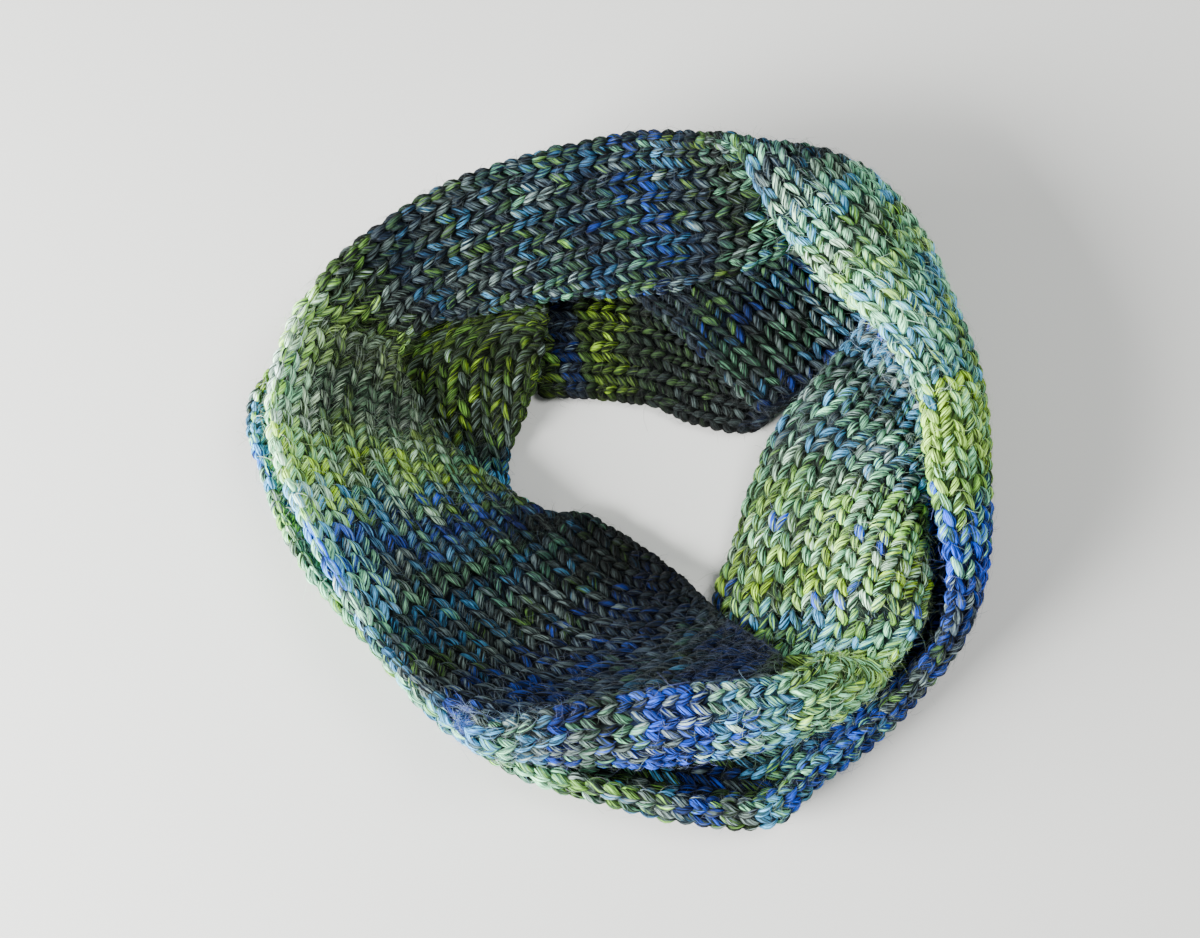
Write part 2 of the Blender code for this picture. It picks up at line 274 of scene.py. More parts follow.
SPIRAL_STRIPES = stripe_table(
    (0.0, "moss", "GLT", 0.08), (1.0, "moss", "GLT", 0.03), (1.6, "moss", "GLTG", 0.07),
    (2.3, "moss", "GTLT", 0.13), (3.0, "black", "GTSP", 0.14), (3.6, "ink", "SBSP", 0.52),
    (4.2, "black", "PTMG", 0.71), (4.6, "black", "WPG", 0.43), (5.0, "slate", "PPGM", 1.22),
    (5.7, "slate", "PPG", 0.95), (7.0, "slate", "PWS", 1.26), (8.2, "slate", "PGPM", 0.76),
    (9.0, "black", "PGT", 0.36), (9.6, "black", "TSG", 0.25), (10.0, "ink", "BBT", 0.07),
    (10.5, "black", "TGB", 0.11), (11.0, "black", "PSG", 0.39), (11.7, "black", "PBS", 0.28),
    (12.4, "ink", "PSBB", 0.20), (13.0, "ink", "BSPB", 0.20), (13.7, "ink", "BTG", 0.19),
    (14.3, "black", "BTG", 0.13), (15.1, "ink", "TB", 0.05), (15.6, "ink", "BBT", 0.10),
    (16.0, "ink", "BBB", 0.46), (16.4, "ink", "BBP", 0.42), (16.9, "black", "YPG", 0.75),
    (17.3, "moss", "LYYP", 1.30), (17.8, "moss", "LYM", 1.30), (18.3, "slate", "SPM", 0.44),
    (18.8, "slate", "MPYS", 1.30), (19.4, "slate", "MYMS", 1.30), (19.9, "slate", "YMP", 1.24),
    (20.4, "black", "PWG", 0.46), (21.0, "black", "PMS", 0.87), (21.5, "black", "PWS", 0.15),
    (22.2, "ink", "SPT", 0.07), (23.0, "ink", "SPGP", 0.38), (23.6, "black", "TPG", 0.04),
    (24.2, "ink", "TSLT", 0.02), (24.7, "ink", "TSBGT", 0.09), (25.1, "ink", "BTPG", 0.07),
    (25.5, "ink", "TTSG", 0.02), (26.0, "ink", "TSPG", 0.09), (26.5, "ink", "TGT", 0.04),
    (27.0, "black", "GTTS", 0.08), (27.5, "ink", "TTSG", 0.03), (28.1, "black", "TTG", 0.10),
    (28.6, "moss", "GWY", 0.20), (29.2, "moss", "YWGT", 0.67), (29.7, "black", "WYTG", 0.63),
    (30.2, "black", "GWTP", 0.57), (30.9, "black", "WPTG", 0.95), (31.5, "moss", "YLWP", 1.25),
    (32.1, "moss", "YLWP", 1.30), (32.6, "moss", "YWPS", 1.06), (33.0, "ink", "WPBG", 0.70),
    (33.4, "ink", "PBSB", 0.38), (33.9, "ink", "SBTP", 0.30), (34.4, "black", "PSTP", 0.18),
    (34.9, "ink", "TPS", 0.09), (35.5, "black", "TTTSG", 0.09), (36.1, "ink", "TTB", 0.06),
    (36.6, "ink", "BT", 0.02), (37.3, "ink", "TG", 0.02), (38.0, "black", "TS", 0.02),
    (38.6, "ink", "BBT", 0.01), (39.4, "ink", "TB", 0.01), (40.0, "black", "PG", 0.06),
)
INNER_STRIPES = stripe_table(
    (0.0, "ink", "TB", 0.06), (1.2, "black", "TS", 1.28), (2.0, "ink", "TPSM", 0.07),
    (2.6, "black", "TMSP", 0.19), (3.3, "ink", "TMPS", 0.16), (3.8, "black", "MTS", 0.15),
    (4.4, "black", "GPW", 0.18), (5.0, "moss", "GPYP", 0.42), (5.6, "black", "YPGWYB", 0.41),
    (6.1, "moss", "YLWP", 0.32), (6.6, "moss", "YGPL", 0.22), (7.1, "black", "YGWYPB", 0.35),
    (7.6, "black", "PSG", 0.25), (8.1, "black", "PGS", 0.54), (8.6, "moss", "YPG", 1.13),
    (9.3, "slate", "MYL", 1.30), (9.9, "moss", "YMG", 1.30), (10.5, "slate", "LYM", 1.30),
    (11.1, "slate", "YMP", 1.30), (11.6, "black", "PSS", 0.50), (12.1, "slate", "PWSB", 0.81),
    (12.5, "ink", "WBSP", 0.46), (12.9, "ink", "BBTB", 0.44), (13.3, "ink", "BBBT", 0.67),
    (13.7, "black", "TPB", 0.14), (14.2, "black", "TPT", 0.11), (14.6, "ink", "BBT", 0.31),
    (15.1, "black", "TS", 0.29), (15.6, "ink", "PSPT", 0.64), (16.2, "black", "PST", 0.49),
    (16.6, "ink", "BSB", 1.16), (17.0, "ink", "BBS", 1.30),
)
# Partly the wool's own dark stripes, partly painted shade: the back flat lies deep in the hollow under the
# upper wrap, and its stripes are charted darker for the shade there.
FLAT_STRIPES = stripe_table(
    (0.0, "ink", "TB", 0.01), (1.2, "black", "T", 0.01), (2.4, "black", "GT", 0.01),
    (3.0, "black", "G", 0.01), (3.3, "black", "LG", 0.01), (3.75, "moss", "L", 0.08),
    (4.15, "moss", "LG", 0.02), (4.4, "ink", "TB", 0.02), (4.8, "ink", "TTB", 0.02),
    (5.3, "moss", "GLT", 0.04), (6.0, "moss", "LG", 0.04),
)
# Partly the wool's own dark stripes, partly painted shade of the hollow under the upper wrap.
PLEAT_STRIPES = stripe_table(
    (0.0, "ink", "T", 0.03), (2.6, "ink", "TG", 0.04), (3.1, "ink", "BSG", 0.03),
    (3.5, "black", "TP", 0.03), (4.0, "black", "TPS", 0.07), (4.6, "ink", "BT", 0.03),
    (5.0, "black", "PT", 0.05),
)

# Each band: its stations and stripes, which rim the columns are counted from, and which way the
# stitches open (1 towards the later stations).
Band = namedtuple("Band", "stations stripes rim opens")
SPIRAL = Band(SPIRAL_STATIONS, SPIRAL_STRIPES, "high", 1)
INNER_BAND = Band(INNER_STATIONS, INNER_STRIPES, "low", -1)
BACK_FLAT = Band(FLAT_STATIONS, FLAT_STRIPES, "low", 1)
BACK_PLEAT = Band(PLEAT_STATIONS, PLEAT_STRIPES, "low", -1)

# Each stretch: name, band, first and last station, how much the share of bright wool differs from leg
# to leg, what the stretch lies on, and its material slot.
Stretch = namedtuple("Stretch", "name band first last contrast lies_on slot")
STRETCHES = [
    Stretch("lower_left", SPIRAL, 0, 5, 0.75, ["floor"], "olive_wool"),
    Stretch("lower_front", SPIRAL, 5, 14, 0.75, ["floor"], "teal_wool"),
    Stretch("right_outer", SPIRAL, 14, 22.5, 0.62, ["floor"], "lime_wool"),
    Stretch("upper_back", SPIRAL, 22.5, 28.5, 0.80, ["lower_left", "back_pleat"], "charcoal_wool"),
    Stretch("upper_left", SPIRAL, 28.5, 34.5, 0.55, ["lower_left"], "olive_wool"),
    Stretch("front_inner", SPIRAL, 34.5, 40, 0.35, ["lower_front"], "navy_wool"),
    Stretch("right_inner", INNER_BAND, 0, 7.5, 0.75, ["right_outer"], "lime_wool"),
    Stretch("front_roll", INNER_BAND, 7.5, 17, 0.70, ["front_inner", "lower_front"], "blue_wool"),
    Stretch("back_flat", BACK_FLAT, 0, 6, 0.65, ["floor"], "olive_wool"),
    Stretch("back_pleat", BACK_PLEAT, 0, 5, 0.85, ["back_flat"], "charcoal_wool"),
]

# How far the painted shade of the stitches is evened out, where the fuzz of worn wool softens it.
SHADE_HAZE = {"front_inner": 0.40, "upper_left": 0.10}

# Painted light and shade across the cloth, by column from the rim that is counted from: the rims,
# which catch the light, are painted paler, and the wool down in the folds is painted darker.
PAINTED_LIGHT_ACROSS = {
    "lower_left": (
        (-3, 1.1), (0, 1.8), (1, 4.0), (2, 2.2), (4, 1.3), (7, 1.1), (10, 0.66), (14, 0.46), (17, 0.9),
    ),
    "lower_front": ((0, 1.0), (1, 1.0)),
    "upper_back": ((-3, 0.9), (-1, 0.40), (0, 0.62), (1, 1.12), (2, 1.0), (4, 0.72), (8, 0.92)),
    "upper_left": (
        (-5, 1.0), (-3, 1.3), (-1, 2.6), (0, 3.8), (1, 8.0), (2, 3.0), (3, 1.1), (5, 0.62), (7, 0.50),
        (9, 0.18), (12, 0.12), (15, 0.8),
    ),
    "front_inner": (
        (-5, 1.0), (-1, 2.0), (0, 2.1), (1, 1.9), (2, 1.2), (4, 1.0), (7, 0.92), (9, 0.60), (11, 0.22),
        (13, 0.08), (16, 0.8),
    ),
    "right_inner": (
        (-10, 0.82), (-9, 1.1), (-8, 1.9), (-6, 1.7), (-5, 1.12), (-4, 0.70), (-2, 0.98), (-1, 0.44),
        (0, 0.8), (2, 1.0),
    ),
    "front_roll": (
        (-9, 1.1), (-7, 1.8), (-5, 1.4), (-4, 0.92), (-2, 1.08), (-1, 0.80), (0, 0.60), (2, 1.0),
    ),
    "right_outer": (
        (-6, 1.1), (-5, 0.80), (-4, 0.60), (-3, 0.72), (-2, 1.4), (0, 1.4), (4, 1.7), (8, 1.6),
    ),
    "back_flat": ((-2, 0.8), (0, 0.06), (1, 0.75), (4, 0.85)),
    "back_pleat": (
        (-7, 3.4), (-6, 1.7), (-4, 0.88), (-3, 0.53), (-2, 0.48), (-1, 0.45), (0, 0.33), (2, 0.8),
    ),
}

# Painted shade in the hollow under the left rim, which darkens and greys the wool between these
# stations. It starts some columns from the rim, and takes some columns to reach its full depth.
PAINTED_HOLLOW_SHADE = (
    (28.5, 0.0), (29.3, 0.42), (31.0, 0.40), (31.7, 0.05), (32.6, 0.0), (33.2, 0.15), (34.5, 0.15),
)
HOLLOW_START, HOLLOW_WIDTH = 1.1, 1.6
# The painted shade in the hollow greys the wool towards this olive grey.
OLIVE_GREY = (1.08, 1.16, 0.76)  # what dull wool tends to, beside a grey as bright

# At the outer rim of lower_left the stripes run some stations ahead: up to a station, fading out over
# some more, and up to a column from the rim, fading out over some more.
RIM_AHEAD = 1.2
AHEAD_STATION, AHEAD_STATIONS = 1.5, 3.5
AHEAD_COLUMN, AHEAD_COLUMNS = 3, 3

# ---- the yarn's pattern ----
UV_UNIT = 50  # millimetres of yarn to one unit of the pattern
UV_LEG = 9.0  # length of a leg in it, millimetres
UV_ROUND = 13.0  # the way round the yarn
UV_SPREAD = 40  # how far apart the legs start in it
UV_STATION = 0.5  # units of it to one station of the plain cloth
TWIST = 30  # degrees between the streaks and the yarn
FINE_STREAKS = {"scale": (9.0, 110.0, 1), "offset": (0, 0, 0), "detail": 3.0, "roughness": 0.65}
WIDE_STREAKS = {"scale": (6.0, 60.0, 1), "offset": (3.7, 8.1, 0), "detail": 1.5, "roughness": 0.5}
# What lies over the yarn: the channel of the wide streaks, where in it the layer begins and is whole,
# and the layer.
HEATHER = (
    ("Red", 0.50, 0.56, "fleck"),
    ("Green", 0.485, 0.535, "dark_fibre"),
    ("Blue", 0.51, 0.57, "second_fleck"),
)
DARK_FIBRE = {"Saturation": 1.0, "Value": 0.15}  # beside what it lies on
FINE_TONES = ((0.36, (0.22, 0.23, 0.24, 1)), (0.5, (0.88, 0.89, 0.88, 1)), (0.66, (1.9, 1.9, 1.8, 1)))
BUMP_DEPTH = 0.0006
WOOL_FINISH = {"Roughness": 0.82, "Specular IOR Level": 0.08, "Sheen Roughness": 0.45}
FIBRE_FINISH = {"Roughness": 0.7, "Specular IOR Level": 0.15, "Sheen Weight": 0.1}
FLOOR_FINISH = {"Base Color": (0.52, 0.512, 0.495, 1), "Roughness": 0.8}

# ---- the floor and the light, metres and watts ----
FLOOR_HALF = 3.0
ROOM_LIGHT = {"Color": (0.92, 0.97, 1.0, 1), "Strength": 0.41}
LAMP_COLOUR = (0.98, 1.0, 0.99)
Lamp = namedtuple("Lamp", "name place size power")
LAMPS = (
    Lamp("key", (-1.20, -0.65, 0.62), 0.70, 133.0),
    Lamp("fill", (0.60, 0.10, 1.30), 0.60, 20.0),
    Lamp("side", (-1.35, -0.10, 0.42), 0.50, 42.0),
)


# ---- the run of the cloth ----
def between(rows, places):
    """Rows of numbers at fractional places, on one smooth curve through all the rows."""
    rows = np.asarray(rows, float)
    places = np.clip(places, 0, len(rows) - 1)
    index = np.minimum(places.astype(int), len(rows) - 2)
    part = (places - index)[:, None]
    before = rows[np.maximum(index - 1, 0)]
    start = rows[index]
    end = rows[index + 1]
    after = rows[np.minimum(index + 2, len(rows) - 1)]
    return (
        start * (2 * part**3 - 3 * part**2 + 1)
        + (end - before) / 2 * (part**3 - 2 * part**2 + part)
        + end * (3 * part**2 - 2 * part**3)
        + (after - start) / 2 * (part**3 - part**2)
    )


def rim_and_handle(rims):
    """The places of rims, and of the handles that the cloth heads for from each."""
    outwards = rims[:, :2] / np.linalg.norm(rims[:, :2], axis=1)[:, None]
    handles = rims[:, :3].copy()
    handles[:, :2] += outwards * rims[:, 3:4]
    handles[:, 2] += rims[:, 4]
    return rims[:, :3], handles


def fine_sections(stations, places):
    """The middle of the cloth from one rim to the other at each place: an array of rows of points."""
    low, low_handle = rim_and_handle(between([s[0] for s in stations], places))
    high, high_handle = rim_and_handle(between([s[1] for s in stations], places))
    t = np.linspace(0, 1, FINE_STEPS + 1)[None, :, None]
    points = (
        low[:, None] * (1 - t) ** 3
        + low_handle[:, None] * 3 * t * (1 - t) ** 2
        + high_handle[:, None] * 3 * t**2 * (1 - t)
        + high[:, None] * t**3
    )
    points[:, :, 2] = np.maximum(points[:, :, 2], HALF_BAND)
    return points


def unit(vectors):
    """Vectors with the same directions, 1 long."""
    return vectors / np.maximum(np.linalg.norm(vectors, axis=-1, keepdims=True), TINY)


def lengths_along(points):
    """How far each point lies along its row of points."""
    steps = np.linalg.norm(np.diff(points, axis=-2), axis=-1)
    return np.concatenate([np.zeros(steps.shape[:-1] + (1,)), np.cumsum(steps, axis=-1)], axis=-1)


def smooth(t):
    """A soft step from 0 to 1."""
    t = np.clip(t, 0, 1)
    return t * t * (3 - 2 * t)


def read_off(table, places):
    """The value at each place, on straight lines through a table of places and values."""
    marks, values = zip(*table)
    return np.interp(places, marks, values)


def make_creases(points, places, creases):
    """The middle of the cloth, moved up and down along its creases."""
    if not creases:
        return points
    across = unit(np.gradient(points, axis=1))
    along = unit(np.gradient(points, axis=0))
    normal = unit(np.cross(across, along))
    length = lengths_along(points)
    share = length / length[:, -1:]
    station = np.broadcast_to(places[:, None], share.shape)
    mid = points[:, points.shape[1] // 2]
    spacing = lengths_along(mid[None])[0][-1] / (places[-1] - places[0])
    to_length = np.array((spacing, length[:, -1:].mean()))
    here = np.stack([station, share], axis=-1) * to_length
    height = np.zeros(share.shape)
    for first, last, rise, half_width in creases:
        start = np.array(first) * to_length
        run = np.array(last) * to_length - start
        t = ((here - start) @ run) / (run @ run)
        nearest = start + np.clip(t, 0, 1)[..., None] * run
        distance = np.linalg.norm(here - nearest, axis=-1)
        height += rise * np.exp(-((distance / half_width) ** 2))
    fade = smooth(np.minimum(share, 1 - share) * CREASE_FADE)
    moved = points + normal * (height * fade)[..., None]
    moved[:, :, 2] = np.maximum(moved[:, :, 2], HALF_BAND)
    return moved


# The fine surface of a stretch. For each row it has the middle of the cloth or of the round rim, and
# the direction out of the cloth, at each distance round the tube from the rim that is counted from,
# and how far round the tube the other rim's middle is.
Grid = namedtuple("Grid", "places distances centre out reach")


def make_grid(stretch):
    """The fine surface of a stretch and a little beyond its ends."""
    stations = stretch.band.stations
    count = round((stretch.last - stretch.first) * GRID_ROWS)
    rows = np.arange(-GRID_MARGIN, count + GRID_MARGIN + 1)
    places = np.unique(np.clip(stretch.first + rows / GRID_ROWS, 0, len(stations) - 1))
    points = make_creases(fine_sections(stations, places), places, CREASES.get(stretch.name))
    turned = 1
    if stretch.band.rim == "high":
        points = points[:, ::-1]
        turned = -1
    length = lengths_along(points)
    total = length[:, -1]
    reach = total - 2 * HALF_BAND + math.pi * HALF_BAND
    steps = math.ceil(reach.max() / GRID_STEP)
    distances = np.arange(-steps, steps + 1) * GRID_STEP
    quarter = math.pi * HALF_BAND / 2
    along_mid = np.clip(np.abs(distances)[None, :] - quarter, 0, None) + HALF_BAND
    along_mid = np.minimum(along_mid, (total - HALF_BAND)[:, None])
    centre = np.empty((len(places), len(distances), 3))
    across = np.empty_like(centre)
    for row in range(len(places)):
        slope = np.gradient(points[row], length[row], axis=0)
        for axis in range(3):
            centre[row, :, axis] = np.interp(along_mid[row], length[row], points[row, :, axis])
            across[row, :, axis] = np.interp(along_mid[row], length[row], slope[:, axis])
    across = unit(across)
    along = np.gradient(centre, axis=0)
    normal = unit(np.cross(across, along)) * turned
    side = np.where(distances < 0, -1.0, 1.0)[None, :, None]
    near = np.clip(np.abs(distances) / HALF_BAND, 0, math.pi / 2)[None, :, None]
    far = np.clip((reach[:, None] - np.abs(distances)[None, :]) / HALF_BAND, 0, math.pi / 2)[..., None]
    out = side * normal * np.sin(near) * np.sin(far) - across * np.cos(near) + across * np.cos(far)
    return Grid(places, distances, centre, unit(out), reach)


def reach_at(grid, places):
    return np.interp(places, grid.places, grid.reach)


def on_grid(grid, places, distances):
    """The middle of the cloth and the direction out of it at any places and distances."""
    row = np.interp(places, grid.places, np.arange(len(grid.places)))
    reach = reach_at(grid, places)
    column = (np.clip(distances, -reach, reach) - grid.distances[0]) / GRID_STEP
    r0 = np.clip(row.astype(int), 0, len(grid.places) - 2)
    c0 = np.clip(column.astype(int), 0, len(grid.distances) - 2)
    fr = (row - r0)[..., None]
    fc = (column - c0)[..., None]
    result = []
    for values in (grid.centre, grid.out):
        result.append(
            (values[r0, c0] * (1 - fc) + values[r0, c0 + 1] * fc) * (1 - fr)
            + (values[r0 + 1, c0] * (1 - fc) + values[r0 + 1, c0 + 1] * fc) * fr
        )
    return result[0], unit(result[1])


def surface(grid, places, distances, heights):
    """Points at heights over the band's outer face, and the direction out of the cloth there."""
    centre, out = on_grid(grid, places, distances)
    points = centre + out * np.asarray(HALF_BAND + heights)[..., None] - MIDDLE
    points[..., 2] = np.maximum(points[..., 2], CLOTH_OVER_FLOOR)
    return points, out


def row_places(stations):
    """The station of each row of stitches, evenly spaced along the middle of the cloth."""
    places = np.linspace(0, len(stations) - 1, (len(stations) - 1) * ROW_SAMPLES + 1)
    mid = fine_sections(stations, places)[:, FINE_STEPS // 2]
    length = lengths_along(mid[None])[0]
    rows = max(2, round(length[-1] / ROW))
    return np.interp(np.linspace(0, length[-1], rows + 1), length, places)


def turned_by(stretch, places):
    """How far the tube is turned round its own length, so that its columns flow round the front corner."""
    if stretch.band is not INNER_BAND:
        return np.zeros(np.shape(places))
    return read_off([(place, columns * PITCH) for place, columns in CORNER_TURN], places)


def add_object(name, data):
    made = bpy.data.objects.new(name, data)
    bpy.context.scene.collection.objects.link(made)
    return made


def quads(*corners):
    """Faces as rows of four vertex numbers."""
    return np.stack(corners, axis=-1).reshape(-1, 4).astype(np.int32)


def add_mesh(name, vertices, faces, attributes, uv, material):
    """A smooth mesh object from arrays."""
    mesh = bpy.data.meshes.new(name)
    mesh.vertices.add(len(vertices))
    mesh.vertices.foreach_set("co", (vertices * MM).astype(np.float32).ravel())
    mesh.loops.add(faces.size)
    mesh.loops.foreach_set("vertex_index", faces.ravel())
    mesh.polygons.add(len(faces))
    mesh.polygons.foreach_set("loop_start", np.arange(0, faces.size, 4, dtype=np.int32))
    mesh.update(calc_edges=True)
    mesh.validate()
    for key, values in attributes:
        layer = mesh.attributes.new(key, "FLOAT_COLOR", "POINT")
        colours = np.ones((len(vertices), 4), np.float32)
        colours[:, :3] = values
        layer.data.foreach_set("color", colours.ravel())
    if uv is not None:
        layer = mesh.uv_layers.new(name="along_yarn")
        layer.data.foreach_set("uv", uv[faces.ravel()].astype(np.float32).ravel())
    mesh.shade_smooth()
    mesh.materials.append(material)
    return add_object(name, mesh)


# ---- the colours of the wool ----
def stripe_colours(stripes, places, rng, turns):
    """For each place, the dark wool, a bright wool for each set of turns, their mean, and how much."""
    marks = np.array([stripe.place for stripe in stripes])
    darks = np.array([DARK_WOOL[stripe.dark] for stripe in stripes])
    amounts = np.array([stripe.amount for stripe in stripes])
    index = np.clip(np.searchsorted(marks, places) - 1, 0, len(marks) - 2)
    part = np.clip((places - marks[index]) / (marks[index + 1] - marks[index]), 0, 1)
    part = np.clip(smooth(part) + rng.normal(0, STRIPE_BLUR, part.shape), 0, 1)
    dark = darks[index] * (1 - part)[..., None] + darks[index + 1] * part[..., None]
    amount = amounts[index] * (1 - part) + amounts[index + 1] * part
    chosen = index + (rng.random(part.shape) < part)
    brights = [np.empty(part.shape + (3,)) for _ in turns]
    mean = np.empty(part.shape + (3,))
    for number, stripe in enumerate(stripes):
        here = chosen == number
        colours = np.array([BRIGHT_WOOL[letter] for letter in stripe.brights])
        mean[here] = colours.mean(axis=0)
        for bright, turn in zip(brights, turns):
            bright[here] = colours[(turn[here] * len(colours)).astype(int)]
    return dark, brights, mean, amount


def runs(rng, row, leg, length):
    """Random numbers for the legs of each row that stay the same for a few legs along the yarn."""
    row = row - row.min()
    table = rng.random((row.max() + 1, RUNS_A_ROW))
    start = rng.random(row.max() + 1) * length
    return table[row, ((leg - leg.min() + start[row]) / length).astype(int) % RUNS_A_ROW]


def painted_hollow_shade(stretch, places, distances):
    """How much painted shade darkens and greys the wool in the hollow under the left rim."""
    if stretch.name != "upper_left":
        return np.zeros(np.shape(places))
    return read_off(PAINTED_HOLLOW_SHADE, places) * smooth((distances / PITCH - HOLLOW_START) / HOLLOW_WIDTH)


def painted_light_and_shade(stretch, places, distances):
    """Painted light and shade: how much lighter or darker the wool is painted beside its stripe's colour.
    """
    pale = read_off(PAINTED_LIGHT_ACROSS[stretch.name], distances / PITCH)
    return pale * (1 - painted_hollow_shade(stretch, places, distances))


def greyed_by_shade(colours, share):
    """Colours mixed with as bright an olive grey, for painted shade."""
    return colours * (1 - share) + colours.mean(axis=-1, keepdims=True) * np.array(OLIVE_GREY) * share


def striped_at(stretch, places, distances):
    """The station whose stripe is at a place."""
    if stretch.name != "lower_left":
        return places
    along = 1 - smooth((places - AHEAD_STATION) / AHEAD_STATIONS)
    across = 1 - smooth((np.abs(distances) / PITCH - AHEAD_COLUMN) / AHEAD_COLUMNS)
    return places + RIM_AHEAD * along * across


def dimmed(colours):
    """Colours that are too bright for wool, made darker in the same hue."""
    return colours * np.minimum(1, BRIGHTEST / np.maximum(colours.max(axis=-1, keepdims=True), TINY))


def wool_mix(dark, bright, share):
    """The colour of wool with a share of bright wool carded into the dark."""
    share = np.clip(share, 0, 1)[..., None]
    return dark * (1 - share) + bright * share


# ---- the stitches ----
# The legs of a stretch: the row and column of each one's stitch, its side of the column (-1 or 1), and
# how many rows its stitch takes.
Legs = namedtuple("Legs", "row column hand taken")


def rows_a_stitch(stretch, grid, every, row, distances):
    """Where the band turns sharply its rows crowd together: how many of them one stitch takes."""
    taken = np.ones(row.shape, int)
    for group in CROWDED_ROWS:
        lines = []
        for step in range(group + 1):
            place = every[np.clip(row - row % group + step, 0, len(every) - 1)]
            points, _ = surface(grid, place, distances + turned_by(stretch, place), CREST)
            lines.append(points)
        height = np.linalg.norm(np.diff(lines, axis=0), axis=-1).sum(axis=0)
        taken = np.where(height < CROWDED * ROW, group, taken)
    return taken


def make_legs(stretch, grid, every):
    """Two legs for each stitch, in all the columns that the tube has room for."""
    rows = np.arange(len(every))
    chosen = rows[(every >= stretch.first - NEARLY) & (every < stretch.last - NEARLY)]
    row, column = np.meshgrid(chosen, np.arange(-MOST_COLUMNS, MOST_COLUMNS + 1), indexing="ij")
    row, column = row.ravel(), column.ravel()
    room = reach_at(grid, every[row]) + SIDE_COLUMN * PITCH
    shown = np.abs(column * PITCH + turned_by(stretch, every[row])) < room
    row, column = np.repeat(row[shown], 2), np.repeat(column[shown], 2)
    hand = np.tile([-1.0, 1.0], len(row) // 2)
    taken = rows_a_stitch(stretch, grid, every, row, (column + SIDE_COLUMN * hand) * PITCH)
    kept = row % taken == 0
    return Legs(row[kept], column[kept], hand[kept], taken[kept])


def leg_rings(stretch, grid, every, legs, wobble):
    """The stations and distances of the points along each leg, and the ring of points round each."""
    shift, lift, slide, plumper = np.split(wobble, 4, axis=1)
    s = ALONG_LEG
    arch = np.sin(math.pi * s) ** LEG_ARCH
    across = PITCH * (LEG_FOOT + LEG_SPREAD * (0.5 * s + 0.5 * smooth(s)))
    along = LEG_START + LEG_SPAN * s + shift
    lines = legs.row[:, None] + stretch.band.opens * along * legs.taken[:, None]
    last = len(every) - 1
    places = np.interp(lines, np.arange(last + 1), every)
    past = np.where(lines < 0, lines, np.maximum(lines - last, 0))
    places = np.clip(places + past * np.diff(every).mean(), grid.places[0], grid.places[-1])
    distances = legs.column[:, None] * PITCH + legs.hand[:, None] * (across + slide)
    distances = distances + turned_by(stretch, places)
    centre, out = surface(grid, places, distances, CREST - DIP * (1 - arch) + lift)
    tangent = unit(np.gradient(centre, axis=1))
    side = unit(np.cross(tangent, out))
    up = np.cross(side, tangent)
    radius = YARN * (LEG_TIP + (1 - LEG_TIP) * np.sin(math.pi * s) ** LEG_TAPER) * (1 + plumper)
    rings = (
        centre[:, :, None]
        + side[:, :, None] * (radius[..., None] * np.sin(ROUND_LEG))[..., None]
        - up[:, :, None] * (LEG_FLATNESS * radius[..., None] * np.cos(ROUND_LEG))[..., None]
    )
    rings[..., 2] = np.maximum(rings[..., 2], YARN_OVER_FLOOR)
    return places, distances, rings


def leg_faces(count):
    """The faces of the legs, each a tube of yarn that is open at its hidden ends."""
    leg = np.arange(count)[:, None, None] * LEG_POINTS * LEG_SIDES
    ring = leg + np.arange(LEG_POINTS - 1)[None, :, None] * LEG_SIDES
    next_ring = ring + LEG_SIDES
    k = np.arange(LEG_SIDES)[None, None, :]
    k_next = (k + 1) % LEG_SIDES
    return quads(ring + k, next_ring + k, next_ring + k_next, ring + k_next)


def leg_colours(stretch, legs, places, distances, rng):
    """The colours of the points round the legs: the yarn's own, and those of its two kinds of fleck."""
    count = len(legs.row)
    place, distance = places.mean(axis=1), distances.mean(axis=1)
    leg_number = 2 * legs.column + (legs.hand > 0)
    turns = [runs(rng, legs.row, leg_number, length) for length in RUN_LENGTHS]
    # a leg takes the stripe at the mean of its foot, its middle and its other end
    striped = striped_at(stretch, places[:, :: LEG_POINTS // 2].mean(axis=1), distance)
    dark, brights, mean, amount = stripe_colours(stretch.band.stripes, striped, rng, turns)
    # the bright wool comes and goes from leg to leg and along each leg
    contrast = stretch.contrast
    amount = amount * np.exp(rng.normal(-0.5 * contrast**2, contrast, count))
    swell = np.clip(1 - SWELL_SHARP * np.abs(ALONG_LEG - rng.random(count)[:, None]), 0, 1)
    amount = amount[:, None] * (SWELL_LEAST + SWELL_GAIN * swell)
    own = (1 - OWN_BRIGHT) * mean + OWN_BRIGHT * brights[0]
    own_share = OWN_GAIN * amount**OWN_CURVE
    fleck_share = (FLECK_GAIN + FLECK_CONTRAST * contrast) * amount**FLECK_CURVE
    layers = [wool_mix(dark[:, None], own[:, None], own_share)]
    layers += [wool_mix(dark[:, None], bright[:, None], fleck_share) for bright in brights]
    # painted shade in the hollow under the left rim
    shade_in_hollow = painted_hollow_shade(stretch, place, distance)[:, None, None]
    # the tone holds random lighter and darker legs, and the painted light and shade across the cloth
    tone = np.exp(rng.normal(0, TONE_SPREAD, count)) * painted_light_and_shade(stretch, place, distance)
    # painted shade at the ends and the lower side of each leg
    ends = END_SHADE + (1 - END_SHADE) * np.sin(math.pi * np.clip(ALONG_LEG, *ENDS)) ** END_CURVE
    under = UNDER_SHADE + (1 - UNDER_SHADE) * (0.5 - 0.5 * np.cos(ROUND_LEG)) ** UNDER_CURVE
    shade = ends[..., None] * under
    # the painted shade, evened out in part where fuzz softens it
    shade_haze = SHADE_HAZE.get(stretch.name, 0)
    shade = tone[:, None, None] * (shade * (1 - shade_haze) + shade.mean() * shade_haze)
    return [(greyed_by_shade(layer, shade_in_hollow)[:, :, None] * shade[..., None]).reshape(-1, 3) for layer in layers]


